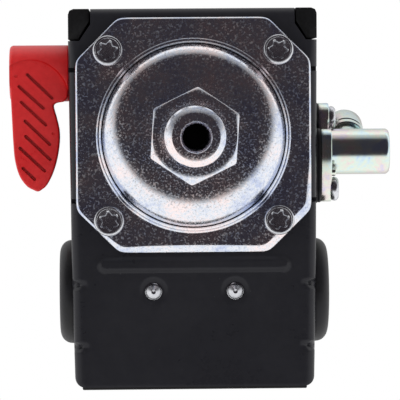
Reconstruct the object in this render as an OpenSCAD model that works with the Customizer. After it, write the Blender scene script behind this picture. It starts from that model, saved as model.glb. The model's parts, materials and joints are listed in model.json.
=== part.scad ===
// Diaphragm pressure switch for an air compressor, with a shut-off lever and an unloader valve.
// Origin: on the axis of the pressure port, at the shoulder of its hex.
// +Z goes up into the switch, +X to the valve.

/* [Pressure port] */
// Width of the hex across its flats
port_hex_af = 18.4; // [17:0.1:20]
// Height of the hex
port_hex_h = 10; // [7:0.5:11]
// Outside diameter of the threaded stub
port_stub_d = 13.2; // [12.6:0.1:13.7]
// Length of the threaded stub below the hex
port_stub_len = 12; // [10:0.5:16]
// Diameter of the air passage
port_bore_d = 5.6; // [4:0.1:6.5]

/* [Diaphragm housing] */
// Width of the octagonal flange
flange_w = 51.6; // [50:0.2:53]
// Length of each corner cut of the flange, along a side
flange_cut = 9.4; // [7:0.2:11]
// Thickness of the pressed flange
flange_t = 2; // [1.5:0.1:2.5]
// Depth of the pressed cup below the flange
cup_h = 6; // [5:0.5:9]
// Diameter of the cup where it meets the flange
cup_d = 42.8; // [42:0.2:44]
// Distance between neighbouring flange screws
screw_span = 37.2; // [36.5:0.1:37.6]

/* [Chassis] */
// Width over the side walls
chassis_w = 54; // [54:0.5:56]
// Distance from the port's axis to the front wall
chassis_front = 27.8; // [27.2:0.2:29]
// Distance from the port's axis to the rear edge
chassis_rear = 55.4; // [55.2:0.2:57]
// Height of the chassis walls, from the underside of the base
chassis_h = 27; // [26.5:0.5:28]
// Thickness of the sheet steel
sheet_t = 1.5; // [1.2:0.1:1.5]

/* [Cover] */
// Height of the cover above the chassis walls
cover_h = 22; // [21:0.5:26]
// Wall thickness of the cover
cover_t = 2; // [1.6:0.1:2.2]

/* [Lever] */
// Radius of the lever's hub
hub_r = 6.5; // [5.6:0.1:6.8]
// Reach of the paddle from the hub's axis
paddle_reach = 26.5; // [24:0.5:30]
// Width of the paddle along the shaft
paddle_w = 11.2; // [9:0.1:11.6]
// Thickness of the paddle
paddle_t = 5; // [4:0.2:5.4]

/* [Cable entry] */
// Diameter of each grommet's cable hole
cable_d = 9; // [6:0.5:10]
// Outside diameter of each grommet
grommet_d = 23.2; // [22.6:0.2:23.6]

/* [Hidden] */
$fn = 64;
slip = 0.05; // radial clearance of a pin or shaft that turns or slides
touch = 0.15; // gap left between pieces that push on each other

// Heights of the layers, from the port up
flange_z = port_hex_h + cup_h;
base_z = flange_z + flange_t;
floor_z = base_z + sheet_t;
wall_top = base_z + chassis_h;
roof_z = wall_top + cover_h;
half_w = chassis_w / 2;
inner_w = half_w - sheet_t;
bend_r = 2.5;

// The cup's outline
cup_flat_r = 8;
cup_curve = 3.5; // the higher, the flatter the cup's middle and the tighter its shoulder
cup_r = cup_d / 2 - 1.2;
spigot_r = 6.9;
diaphragm_r = 22.4;
piston_hole_r = 15.5;

// The flange screws
flange_screw_r = 1.9;
flange_head_r = 3.3;
flange_head_h = 2.2;
screw_at = [for (x = [-1, 1], y = [-1, 1]) [x, y] * screw_span / 2];

// The corner notches and bend reliefs of the chassis
notch_x = 4.6;
notch_y = 7;
notch_bevel = [2.4, 3.6];
post_gap = 0.3;
relief_y = 14.4;
relief_w = 0.9;

// The stiffening bead and the gusset darts
bead_y = 28.6;
bead_half_len = 21.5;
bead_half_w = 1.9;
bead_deep = 0.9;
gusset_y = [33, 46.8];
gusset_w = 2;

// The shut-off shaft, the trip slide and the valve share one height
shaft_y = -13.8;
shaft_z = base_z + 15;
shaft_r = 3;
hub_inner_x = half_w + 0.45;
hub_len = 13.2;
bushing_r = 4.15;
valve_y = 4.2;

// The shut-off cam lifts the slide in proportion to its angle
lever_angle = 60;
slide_travel = 1.6;
cam_r = 5;
cam_x = 16;
cam_t = 2.6;
clip_x = 18.8;
slide_x = 16.3;
slide_t = 2;
nose_r = 1;
slide_front = shaft_y + cam_r + 0.2;

// The contact rocker
rocker_y = 27.8;
rocker_z = shaft_z + 6;
rocker_t = 3.4;
rocker_pin_r = 1.1;
rocker_front = rocker_y - rocker_t / 2;
toggle_x = -8;
pole_x = 11;
contact_z = rocker_z + 8.5;
contact_pitch = 9;

// The contact block
block_w = 38.8;
deck_w = 37.4;
block_front = 30;
upstand_y = 38;
upstand_t = 3;
upstand_top = contact_z + 4.5;
deck_z = base_z + 18;
deck_rear = 52.5;
sheet_gap = 0.4;
block_z = floor_z + sheet_gap;
block_screw_x = 9;
block_screw_y = 34.4;
block_hole_r = 2;
terminal_y = 47;
terminal_t = 1;
contact_r = 1.6;

// The main lever and the range spring
pivot_y = -20;
pivot_z = base_z + 11.8;
lever_under = base_z + 7.1;
lever_t = 1.8;
stud_y = 19.5;
stud_r = 3;
stud_top = roof_z - 7;
cover_hole_r = 2.3;
cover_sink = 1.2;
spring_r = 5.1;
spring_wire = 1.6;
cap_z = base_z + 32;
cap_t = 2;
nut_h = 5;

// The cable grommets
grommet_y = 35.2;
grommet_hole_r = 10;
grommet_out = 3.2;

// The unloader valve, outwards from the chassis wall
gasket_t = 1.5;
valve_flange_t = 2.5;
valve_x = half_w + gasket_t;
barrel_x = valve_x + valve_flange_t;
barrel_end = 44.2;
barrel_r = 5.1;
chamber_x = 32.6;
chamber_r = 2.6;
tube_x = 35.3;
tube_tilt = 20;
tube_r = 3.05;
branch_r = 3.5;
branch_end = 10.6;
nut_r = 4.2;
nut_from = 8;
nut_to = 16;
ferrule_t = 1.6;
valve_screw_at = [[-3.3, shaft_z + 4.2], [12.4, shaft_z - 4.6]];
valve_y0 = -1;
valve_y1 = 15.3;
valve_screw_r = 1.45;
valve_hole_r = 1.4;
pin_r = 0.8;
pin_nose = slide_x + slide_t + 1.15;

// The ground screw, in the left wall
ground_at = [50, shaft_z - 5];
ground_r = 2;

// Points on an arc about c, from angle a0 to a1
function arc(c, r, a0, a1, n = 6) =
    [for (i = [0:n]) let (a = a0 + (a1 - a0) * i / n) c + r * [cos(a), sin(a)]];

// One front corner notch's outline, drawn in by gap, for the side s
function notch_points(s, gap) =
    let (x0 = half_w - notch_x + gap, y1 = notch_y - chassis_front - gap, b = notch_bevel)
    [[s * (half_w + 1), -chassis_front - 1], [s * x0, -chassis_front - 1], [s * x0, y1 - b.y],
     [s * (x0 + b.x), y1], [s * (half_w + 1), y1]];

// A rectangle with round corners, as points
function round_rect(x0, x1, y0, y1, r) = concat(
    arc([x1 - r, y1 - r], r, 0, 90), arc([x0 + r, y1 - r], r, 90, 180),
    arc([x0 + r, y0 + r], r, 180, 270), arc([x1 - r, y0 + r], r, 270, 360));

// Height of the cup's skin at radius r, for a skin that starts at z0, is deep mm deep and r_end in radius
function cup_skin(r, z0, deep, r_end) =
    z0 - deep * sqrt(1 - pow(max(0, r - cup_flat_r) / (r_end - cup_flat_r), cup_curve));

// Draws its child with the child's X along Y, the child's Y along Z, and its extrusion along X
module side_profile() { rotate([90, 0, 90]) children(); }

// A rod along X from x0 to x1
module rod_x(x0, x1, r, y = 0, z = 0) {
    translate([x0, y, z]) rotate([0, 90, 0]) cylinder(r = r, h = x1 - x0);
}

// A rod along Y from y0 to y1
module rod_y(y0, y1, r, x = 0, z = 0) {
    translate([x, y0, z]) rotate([-90, 0, 0]) cylinder(r = r, h = y1 - y0);
}

// A rod along Z from z0 to z1
module rod_z(z0, z1, r, x = 0, y = 0) { translate([x, y, z0]) cylinder(r = r, h = z1 - z0); }

// A block between two corners
module block(lo, hi) { translate(lo) cube(hi - lo); }

// Its child, drawn for +X, and a mirrored copy on the other side
module both_sides() {
    for (flip = [0, 1]) mirror([flip, 0, 0]) children();
}

// A coil spring along Z from z0 to z1, swept as one closed tube
module coil(r, wire, z0, z1, turns, steps = 12, sides = 8) {
    n = turns * steps;
    rise = z1 - z0 - wire;
    rings = [for (i = [0:n], k = [0:sides - 1])
        let (a = 360 * i / steps, b = 360 * k / sides, d = r + wire / 2 * cos(b))
        [d * cos(a), d * sin(a), z0 + wire / 2 + rise * i / n + wire / 2 * sin(b)]];
    walls = [for (i = [0:n - 1], k = [0:sides - 1]) let (j = (k + 1) % sides)
        [i * sides + k, i * sides + j, (i + 1) * sides + j, (i + 1) * sides + k]];
    ends = [[for (k = [sides - 1:-1:0]) k], [for (k = [0:sides - 1]) n * sides + k]];
    polyhedron(points = rings, faces = [for (f = concat(walls, ends)) [for (i = [len(f) - 1:-1:0]) f[i]]]);
}

// A six-lobe driver socket's outline
module six_lobe(r) {
    wave = 0.13;
    polygon([for (a = [0:7.5:352.5]) r * (1 - wave + wave * cos(6 * a)) * [cos(a), sin(a)]]);
}

// A pan head on the XY plane, its face towards -Z
module pan_head(r, h) {
    translate([0, 0, -h * 0.55]) cylinder(r = r, h = h * 0.55);
    translate([0, 0, -h]) cylinder(r1 = r * 0.72, r2 = r, h = h * 0.45);
}

// ---- Pressure port and diaphragm housing ----

module pressure_port() {
    chamfer_r = port_hex_af / 2 - 0.3;
    color("silver") difference() {
        union() {
            translate([0, 0, -port_stub_len]) cylinder(d1 = port_stub_d - 2.2, d2 = port_stub_d, h = 1.1);
            rod_z(1.1 - port_stub_len, 0.5, port_stub_d / 2);
            intersection() {
                rotate([0, 0, 34]) cylinder(d = port_hex_af / cos(30), h = port_hex_h, $fn = 6);
                union() {
                    cylinder(r1 = chamfer_r, r2 = chamfer_r + 2, h = 1.1);
                    rod_z(1.1, port_hex_h, chamfer_r + 2);
                }
            }
            rod_z(port_hex_h - 0.5, port_hex_h + flange_t + 1.4, spigot_r);
            rod_z(port_hex_h + flange_t, port_hex_h + flange_t + 1.4, spigot_r + 1);
        }
        rod_z(-port_stub_len - 1, base_z, port_bore_d / 2);
        translate([0, 0, -port_stub_len - 0.01])
            cylinder(d1 = port_bore_d + 1.3, d2 = port_bore_d, h = 0.9);
    }
}

module flange_outline() {
    a = flange_w / 2;
    b = a - flange_cut;
    polygon([[a, -b], [a, b], [b, a], [-b, a], [-a, b], [-a, -b], [-b, -a], [b, -a]]);
}

module diaphragm_flange() {
    inner_r = cup_r - flange_t;
    steps = 14;
    outer = [for (i = [0:steps]) let (r = cup_flat_r + (cup_r - cup_flat_r) * sin(90 * i / steps))
        [r, cup_skin(r, flange_z, cup_h, cup_r)]];
    inner = [for (i = [0:steps]) let (r = cup_flat_r + (inner_r - cup_flat_r) * sin(90 * i / steps))
        [r, cup_skin(r, base_z - 1, cup_h + 1 - flange_t, inner_r)]];
    fillet = arc([cup_r + 1.2, flange_z - 1.2], 1.2, 180, 90, 5);
    color("lightgray") difference() {
        union() {
            translate([0, 0, flange_z]) linear_extrude(flange_t) flange_outline();
            rotate_extrude() polygon(concat([[0, flange_z + 0.5], [0, port_hex_h]],
                [for (i = [0:steps - 1]) outer[i]], fillet, [[cup_r + 1.2, flange_z + 0.5]]));
        }
        rotate_extrude() polygon(concat([[0, base_z - 0.99], [0, port_hex_h + flange_t]], inner,
            [[inner_r, base_z - 0.99]]));
        rod_z(base_z - 1, base_z + 1, diaphragm_r + 0.1);
        rod_z(0, base_z, spigot_r);
        for (p = screw_at) rod_z(0, base_z + 1, flange_screw_r + 0.3, p.x, p.y);
    }
}

module flange_screws() {
    color("silver") for (p = screw_at) translate([p.x, p.y, flange_z]) difference() {
        union() {
            pan_head(flange_head_r, flange_head_h);
            cylinder(r = flange_screw_r, h = flange_t + sheet_t + 3);
        }
        translate([0, 0, -flange_head_h - 0.01]) linear_extrude(1.5) six_lobe(2.05);
    }
}

module diaphragm() {
    under = base_z - 1;
    fold_r = 13.8; // the rolling fold round the pressure plate
    fold_deep = 1.2;
    color("dimgray") rotate_extrude() polygon([
        [0, under], [fold_r - 1.6, under], [fold_r - 0.9, under - fold_deep],
        [fold_r + 0.9, under - fold_deep], [fold_r + 1.6, under], [diaphragm_r, under],
        [diaphragm_r, base_z], [fold_r + 1.4, base_z], [fold_r + 0.5, under - 0.4],
        [fold_r - 0.5, under - 0.4], [fold_r - 1.4, base_z], [0, base_z]]);
}

module pressure_plate() {
    tip_z = lever_under - 0.1;
    plate_r = 11.4;
    plate_t = 1.8;
    neck_r = 4;
    color("silver") {
        rod_z(base_z, base_z + plate_t, plate_r);
        rod_z(base_z + plate_t - 0.1, tip_z - 1.4, neck_r);
        translate([0, 0, tip_z - 1.5]) cylinder(r1 = neck_r, r2 = 1.5, h = 1.5);
    }
}

// ---- Chassis and cover ----

// The outer or inner line of the folded sheet, in X and Z
function fold_line(w, z, r) = concat(
    [[-w, wall_top]], arc([-w + r, z + r], r, 180, 270),
    arc([w - r, z + r], r, 270, 360), [[w, wall_top]]);

function backwards(list) = [for (i = [len(list) - 1:-1:0]) list[i]];

module chassis_sheet() {
    outer = fold_line(half_w, base_z, bend_r);
    inner = fold_line(inner_w, floor_z, bend_r - sheet_t);
    translate([0, chassis_rear, 0]) rotate([90, 0, 0])
        linear_extrude(chassis_rear + chassis_front - bend_r) polygon(concat(outer, backwards(inner)));
    // the front wall, folded up between the corner notches
    front_w = half_w - notch_x;
    front = -chassis_front;
    bend = [front + bend_r, base_z + bend_r];
    translate([-front_w, 0, 0]) side_profile() linear_extrude(2 * front_w) polygon(concat(
        [[bend.x + 0.5, base_z]], arc(bend, bend_r, 270, 180), [[front, wall_top]],
        [[front + sheet_t, wall_top]], arc(bend, bend_r - sheet_t, 180, 270),
        [[bend.x + 0.5, floor_z]]));
}

// The stiffening bead across the base, pressed out by deep mm
module bead(half_len, half_wide, deep, z) {
    straight = half_len - half_wide;
    crest = half_wide * 0.5;
    translate([0, bead_y, z]) {
        side_profile() translate([0, 0, -straight]) linear_extrude(2 * straight)
            polygon([[-half_wide, 0.01], [-crest, -deep], [crest, -deep], [half_wide, 0.01]]);
        for (s = [-1, 1]) translate([s * straight, 0, -deep])
            cylinder(r1 = crest, r2 = half_wide, h = deep + 0.01);
    }
}

module chassis_cuts() {
    for (s = [-1, 1]) translate([0, 0, base_z - 1]) linear_extrude(chassis_h + 2)
        polygon(notch_points(s, 0));
    both_sides() {
        // bend reliefs
        for (y = [-relief_y, relief_y])
            block([half_w - 2, y - relief_w / 2, base_z - 1], [half_w + 1, y + relief_w / 2, base_z + 4]);
        // gusset darts across the bend
        for (y = gusset_y) translate([half_w, y, base_z]) rotate([0, 45, 0])
            cube([4, gusset_w, 4], center = true);
        rod_x(inner_w - 1, half_w + 1, grommet_hole_r, grommet_y, shaft_z);
        // the contact block's screws, in shallow dimples
        rod_z(0, floor_z + 1, block_hole_r, block_screw_x, block_screw_y);
        translate([block_screw_x, block_screw_y, base_z - 0.01])
            cylinder(r1 = block_hole_r + 1, r2 = block_hole_r, h = 0.7);
    }
    rod_z(0, floor_z + 1, piston_hole_r);
    for (p = screw_at) rod_z(0, floor_z + 1, flange_screw_r + slip, p.x, p.y);
    rod_x(-half_w - 1, 1 - inner_w, bushing_r + slip, shaft_y, shaft_z);
    rod_x(inner_w - 1, half_w + 1, valve_hole_r, valve_y, shaft_z);
    for (p = valve_screw_at) rod_x(inner_w - 1, half_w + 1, valve_screw_r + slip, p.x, p.y);
    rod_x(-half_w - 1, 1 - inner_w, ground_r + slip, ground_at.x, ground_at.y);
    bead(bead_half_len - 1.1, bead_half_w - 0.8, bead_deep - 0.1, floor_z);
}

module chassis() {
    color([0.07, 0.07, 0.08]) difference() {
        union() {
            chassis_sheet();
            bead(bead_half_len, bead_half_w, bead_deep, base_z);
        }
        chassis_cuts();
    }
}

module cover() {
    front = -chassis_front;
    rear = chassis_rear + 0.8;
    color([0.06, 0.06, 0.07]) difference() {
        union() {
            translate([0, 0, wall_top]) linear_extrude(cover_h)
                polygon(round_rect(-half_w, half_w, front, rear, 3));
            // rear skirt, between the chassis' side walls
            block([0.7 - inner_w, rear - cover_t, floor_z + 0.8], [inner_w - 0.7, rear, wall_top + 1]);
            // corner post in each front notch
            for (s = [-1, 1]) translate([0, 0, base_z + 0.9]) linear_extrude(chassis_h) intersection() {
                polygon(notch_points(s, post_gap));
                translate([-half_w, front]) square([chassis_w, notch_y]);
            }
            // locating lip inside each side wall
            both_sides() block([inner_w - 1.6, -18, wall_top - 2.5], [inner_w - 0.2, 18, wall_top + 3]);
        }
        translate([0, 0, wall_top - 0.01]) linear_extrude(cover_h - cover_t)
            polygon(round_rect(cover_t - half_w, half_w - cover_t, front + cover_t, rear - cover_t, 1.5));
        // the posts are shells, open to the inside
        both_sides() block([half_w - notch_x, front + cover_t, base_z + 3],
            [half_w - cover_t, front + notch_y + 1, wall_top + 0.5]);
        rod_z(roof_z - 3, roof_z + 1, cover_hole_r, 0, stud_y);
        rod_z(roof_z - cover_sink, roof_z + 1, 5, 0, stud_y);
    }
    color([0.06, 0.06, 0.07]) difference() {
        rod_z(stud_top + 0.2, roof_z - cover_t + 0.5, 4.6, 0, stud_y);
        rod_z(stud_top, roof_z, cover_hole_r, 0, stud_y);
    }
}

module cover_screw() {
    color("silver") translate([0, stud_y, roof_z - cover_sink]) difference() {
        union() {
            rotate([180, 0, 0]) pan_head(4.2, 2.6);
            rod_z(-13.5, 0, 1.95);
        }
        for (a = [0, 90]) rotate([0, 0, a]) block([-2.2, -0.5, 1.4], [2.2, 0.5, 3]);
    }
}

// A grommet about the X axis, its outer face towards +X, with the chassis wall's outer face at x = 0
module grommet() {
    r = grommet_d / 2;
    hole = cable_d / 2;
    edge_r = 2.6;
    dome = concat([[hole, grommet_out - 0.5], [hole + 0.5, grommet_out], [r * 0.55, grommet_out]],
        arc([r - edge_r, grommet_out - edge_r - 0.3], edge_r, 82, 0, 7),
        [[r, 0], [grommet_hole_r - slip, 0]]);
    rotate([0, 90, 0]) rotate_extrude() polygon(concat([[hole, -sheet_t - 2]], dome,
        [[grommet_hole_r - slip, -sheet_t], [r - 0.5, -sheet_t], [r - 1.2, -sheet_t - 2]]));
}

module grommet_left() {
    color([0.05, 0.05, 0.05]) translate([-half_w, grommet_y, shaft_z]) mirror([1, 0, 0]) grommet();
}

module grommet_right() {
    color([0.05, 0.05, 0.05]) translate([half_w, grommet_y, shaft_z]) grommet();
}

// ---- Pressure mechanism ----

module mechanism_frame() {
    color("gainsboro") difference() {
        union() {
            block([-21.5, -24.6, floor_z], [21.5, -16.2, floor_z + 1.5]);
            both_sides() block([13, -24.6, floor_z], [14.5, -9.6, shaft_z + 5]);
        }
        for (p = screw_at) rod_z(floor_z - 1, floor_z + 3, flange_screw_r + slip, p.x, p.y);
        rod_z(floor_z - 1, floor_z + 3, piston_hole_r);
        rod_x(-20, 20, shaft_r + slip, shaft_y, shaft_z);
        rod_x(-20, 20, 1.5, pivot_y, pivot_z);
    }
}

module main_lever_pin() { color("silver") rod_x(-15.3, 15.3, 1.5 - slip / 2, pivot_y, pivot_z); }

module main_lever() {
    rear = 25.4;
    color("gainsboro") difference() {
        union() {
            block([-12, pivot_y - 2.8, lever_under], [12, rear, lever_under + lever_t]);
            block([-10, rear - 1, lever_under], [-6, rear + 3.6, lever_under + lever_t]);
            for (x = [-12, 10.2]) {
                block([x, pivot_y - 2.8, lever_under], [x + 1.8, rear, lever_under + 3.6]);
                block([x, pivot_y - 2.8, lever_under], [x + 1.8, pivot_y + 2.8, pivot_z]);
                rod_x(x, x + 1.8, 2.8, pivot_y, pivot_z);
            }
        }
        rod_z(lever_under - 1, lever_under + lever_t + 1, stud_r + 1.2, 0, stud_y);
        rod_x(-20, 20, 1.5 + slip, pivot_y, pivot_z);
        rod_z(lever_under - 1, lever_under + lever_t + 1, 0.6, -8, rear + 2.2);
    }
}

module range_stud() {
    color("silver") difference() {
        union() {
            rod_z(floor_z, floor_z + 1.4, 3.7, 0, stud_y);
            rod_z(floor_z, stud_top, stud_r, 0, stud_y);
        }
        rod_z(stud_top - 12, stud_top + 1, 2, 0, stud_y);
    }
}

module range_spring() {
    color("dimgray") translate([0, stud_y, 0]) coil(spring_r, spring_wire, lever_under + lever_t, cap_z, 7);
}

module spring_cap() {
    color("gainsboro") difference() {
        rod_z(cap_z, cap_z + cap_t, spring_r + 1.2, 0, stud_y);
        rod_z(cap_z - 1, cap_z + cap_t + 1, stud_r + slip, 0, stud_y);
    }
}

module range_nut() {
    color("silver") translate([0, stud_y, cap_z + cap_t]) difference() {
        cylinder(d = 10 / cos(30), h = nut_h, $fn = 6);
        rod_z(-1, nut_h + 1, stud_r + slip);
    }
}

// ---- Contacts ----

module insulating_sheet() {
    color("darkslategray") difference() {
        block([-block_w / 2 - 2, 24.6, floor_z], [block_w / 2 + 2, deck_rear + 1, block_z]);
        for (s = [-1, 1]) rod_z(floor_z - 1, block_z + 1, 2.2, s * block_screw_x, block_screw_y);
    }
}

module contact_block() {
    w = block_w / 2;
    color([0.16, 0.1, 0.07]) difference() {
        union() {
            block([-w, block_front, block_z], [w, upstand_y + 1, block_z + 5]);
            block([-deck_w / 2, upstand_y, block_z], [deck_w / 2, upstand_y + upstand_t, upstand_top]);
            block([-deck_w / 2, upstand_y, block_z], [deck_w / 2, deck_rear, deck_z]);
            // barriers between the poles
            for (x = [-pole_x, 0, pole_x])
                block([x - 0.7, upstand_y, block_z], [x + 0.7, deck_rear, deck_z + 9]);
            // cheeks that hold the rocker's pin
            both_sides() {
                block([w, rocker_y - 3, block_z], [w + 2, rocker_y + 2, rocker_z + 3]);
                block([w - 3, rocker_y - 3, block_z], [w + 2, block_front + 1, block_z + 5]);
            }
        }
        rod_x(-30, 30, rocker_pin_r, rocker_y, rocker_z);
        for (s = [-1, 1]) rod_z(block_z - 1, block_z + 6, 2.2, s * block_screw_x, block_screw_y);
        for (i = terminals) rod_z(deck_z - 8, deck_z + 1, 1.75, terminal_x(i), terminal_y);
    }
}

// X of the terminals: two for each pole, counted outwards from the middle
terminals = [-2, -1, 1, 2];
function terminal_x(i) = sign(i) * (pole_x + (abs(i) > 1 ? 1 : -1) * contact_pitch / 2);

module block_screws() {
    color("silver") for (s = [-1, 1]) translate([s * block_screw_x, block_screw_y, 0]) difference() {
        union() {
            rod_z(base_z + 0.2, block_z + 5, 1.95);
            translate([0, 0, base_z - 0.6]) cylinder(r1 = 1.5, r2 = 1.95, h = 0.85);
            translate([0, 0, block_z + 5]) rotate([180, 0, 0]) pan_head(3.6, 2.4);
        }
        for (a = [0, 90]) rotate([0, 0, a]) block([-2, -0.45, block_z + 6.2], [2, 0.45, block_z + 8]);
    }
}

module fixed_contacts() {
    y0 = upstand_y;
    y1 = upstand_y + upstand_t;
    t = terminal_t;
    tail = deck_rear - 1;
    strip = [[y0 - t, contact_z - 3], [y0, contact_z - 3], [y0, upstand_top], [y1, upstand_top],
        [y1, deck_z], [tail, deck_z], [tail, deck_z + t], [y1 + t, deck_z + t],
        [y1 + t, upstand_top + t], [y0 - t, upstand_top + t]];
    color("goldenrod") for (i = terminals) translate([terminal_x(i), 0, 0]) difference() {
        union() {
            translate([-2.4, 0, 0]) side_profile() linear_extrude(4.8) polygon(strip);
            rod_y(y0 - t - 0.8, y0 - t + 0.1, contact_r, 0, contact_z);
        }
        rod_z(deck_z - 1, deck_z + 2, 1.8, 0, terminal_y);
    }
}

module terminal_screws() {
    seat = deck_z + terminal_t;
    color("goldenrod") for (i = terminals) translate([terminal_x(i), terminal_y, seat]) difference() {
        union() {
            rotate([180, 0, 0]) pan_head(3.2, 2.2);
            rod_z(-7, 0, 1.7);
        }
        block([-3.3, -0.45, 1.1], [3.3, 0.45, 3]);
    }
}

module contact_rocker() {
    y0 = rocker_front;
    y1 = rocker_front + rocker_t;
    color([0.3, 0.16, 0.08]) difference() {
        union() {
            block([-19, y0, rocker_z - 2.2], [19, y1, rocker_z + 2.2]);
            for (s = [-1, 1]) {
                rod_x(s > 0 ? 8 : -19, s > 0 ? 19 : -8, 2.4, rocker_y, rocker_z);
                translate([s * pole_x, 0, 0]) {
                    block([-3, y0, rocker_z], [3, y1, contact_z + 3]);
                    rod_y(y1 - 1, upstand_y - 2.7, 1.1, 0, contact_z);
                }
            }
            block([15.4, y0, shaft_z - 2.5], [19, y1, rocker_z]);
            block([toggle_x - 1.6, y0, shaft_z - 0.5], [toggle_x + 1.6, y1, rocker_z]);
        }
        rod_x(-30, 30, rocker_pin_r + slip, rocker_y, rocker_z);
    }
}

module rocker_pin() {
    reach = block_w / 2 + 2;
    color("silver") rod_x(-reach, reach, rocker_pin_r, rocker_y, rocker_z);
}

module moving_contacts() {
    y1 = upstand_y - 2.7;
    color("goldenrod") for (s = [-1, 1]) translate([s * pole_x, 0, contact_z]) {
        difference() {
            block([-6.5, y1 - 0.9, -2], [6.5, y1, 2]);
            rod_y(y1 - 2, y1 + 1, 1.1 + slip);
        }
        for (t = [-1, 1]) rod_y(y1 - 0.1, y1 + 0.8, contact_r, t * contact_pitch / 2);
    }
}

module contact_springs() {
    color("silver") for (s = [-1, 1]) translate([s * pole_x, 0, contact_z]) rotate([-90, 0, 0])
        coil(1.9, 0.5, rocker_front + rocker_t, upstand_y - 3.6, 4, 10, 8);
}

module toggle_spring() {
    seat = lever_under + lever_t + 0.1;
    color("silver") translate([toggle_x, rocker_y, 0]) coil(1.2, 0.5, seat, shaft_z - 0.6, 6, 10, 8);
}

// ---- Shut-off lever ----

// The paddle seen along Z, with X towards the switch and Y along the blade: its outer side is nearly
// straight, its tip blunt, and its inner side waisted next to the hub
module paddle_outline() {
    w = paddle_w;
    tip = paddle_reach;
    outer_side = [[0, 0], [0.03, 0.3], [0.06, 0.52], [0.1, 0.72], [0.19, 0.85], [0.33, 0.94], [0.46, 0.985]];
    inner_side = [[0.56, 1], [0.64, 0.98], [0.74, 0.93], [0.85, 0.84], [0.94, 0.72], [0.99, 0.58],
        [0.99, 0.47], [0.94, 0.37], [0.88, 0.29]];
    polygon(concat([for (p = concat(outer_side, inner_side)) [w * p.x, tip * p.y]],
        [[w * 0.88, hub_r], [w * 0.88, 0]]));
}

module shutoff_lever() {
    x0 = -hub_inner_x - hub_len;
    face = shaft_z - hub_r + 0.6;
    grooves = 7;
    groove_pitch = 3.4;
    color("red") difference() {
        union() {
            rod_x(x0, -hub_inner_x, hub_r, shaft_y, shaft_z);
            translate([x0, shaft_y, face]) linear_extrude(paddle_t) paddle_outline();
        }
        rod_x(x0 + 1.5, 0, shaft_r + 0.02, shaft_y, shaft_z);
        // slanted grip grooves
        for (i = [0:grooves - 1]) translate([x0 + paddle_w / 2, shaft_y + 2.4 + groove_pitch * i, face])
            rotate([0, 0, 45]) cube([i == grooves - 1 ? 3 : 6.6, 0.8, 1.2], center = true);
    }
}

module lever_shaft() {
    color("silver") rod_x(-hub_inner_x - hub_len + 1.6, clip_x + 1, shaft_r, shaft_y, shaft_z);
}

module shaft_bushing() {
    color("white") difference() {
        union() {
            rod_x(-half_w, 1.4 - inner_w, bushing_r, shaft_y, shaft_z);
            rod_x(-inner_w, 1.4 - inner_w, 5.6, shaft_y, shaft_z);
        }
        rod_x(-half_w - 1, 3 - inner_w, shaft_r + slip, shaft_y, shaft_z);
    }
}

// The cam's radius grows evenly with the angle it is turned through, so the slide follows in proportion
module shutoff_cam() {
    rise = slide_travel / lever_angle;
    lobe = [for (a = [-72:3:9]) (cam_r - rise * a) * [cos(a), sin(a)]];
    rest = [for (a = [18:9:270]) (cam_r - 0.5) * [cos(a), sin(a)]];
    color("gainsboro") translate([cam_x, shaft_y, shaft_z]) side_profile() linear_extrude(cam_t)
        difference() {
            polygon(concat(lobe, rest));
            circle(r = shaft_r + 0.02);
        }
}

module shaft_clip() {
    color("dimgray") difference() {
        rod_x(clip_x, clip_x + 0.6, 5, shaft_y, shaft_z);
        rod_x(clip_x - 1, clip_x + 1, shaft_r + 0.02, shaft_y, shaft_z);
        block([clip_x - 1, shaft_y - 1.8, shaft_z], [clip_x + 1, shaft_y + 1.8, shaft_z + 6]);
    }
}

module trip_slide() {
    y0 = slide_front + nose_r;
    y1 = rocker_front - touch - nose_r;
    x1 = slide_x + slide_t;
    ramp_out = 1.65;
    color("gainsboro") {
        block([slide_x, y0 + 0.6, shaft_z - 1.5], [x1, y1 - 0.6, shaft_z + 1.5]);
        block([slide_x, y0, shaft_z - nose_r], [x1, y1, shaft_z + nose_r]);
        for (y = [y0, y1]) rod_x(slide_x, x1, nose_r, y, shaft_z);
        // the ramp that pushes the valve's pin out
        translate([0, 0, shaft_z - 1.5]) linear_extrude(3)
            polygon([[x1 - 0.5, valve_y + 0.01], [x1, valve_y + 0.01], [x1 + ramp_out, valve_y - 2.2],
                [x1 + ramp_out, valve_y - 3.4], [x1 - 0.5, valve_y - 5]]);
    }
}

module slide_guides() {
    color("gainsboro") for (y = [-4.2, 11]) difference() {
        union() {
            block([15.3, y, floor_z], [19.3, y + 1.2, shaft_z + 3]);
            block([16, y, floor_z], [19.3, y + 3.6, floor_z + 1.2]);
        }
        block([slide_x - slip, y - 1, shaft_z - 1.5 - slip],
            [slide_x + slide_t + slip, y + 2, shaft_z + 1.5 + slip]);
    }
}

// ---- Unloader valve ----

module valve_outline(grow = 0) {
    polygon(round_rect(valve_y0 - grow, valve_y1 + grow, shaft_z - 8 - grow, shaft_z + 8 + grow, 3));
    translate(valve_screw_at[0]) circle(r = 3.4 + grow);
    translate([valve_y0 - 2, shaft_z + 0.5]) square([3, 7 + grow]);
}

module valve_holes(x0, x1) {
    for (p = valve_screw_at) rod_x(x0, x1, valve_screw_r + 0.15, p.x, p.y);
    rod_x(x0, x1, valve_hole_r, valve_y, shaft_z);
}

module valve_gasket() {
    color([0.1, 0.1, 0.1]) difference() {
        translate([half_w, 0, 0]) side_profile() linear_extrude(gasket_t) valve_outline(0.3);
        valve_holes(half_w - 1, valve_x + 1);
    }
}

// Places its child at the tube branch, with the child's Z along the tube
module at_branch() { translate([tube_x, valve_y, shaft_z]) rotate([tube_tilt, 0, 0]) children(); }

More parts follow.
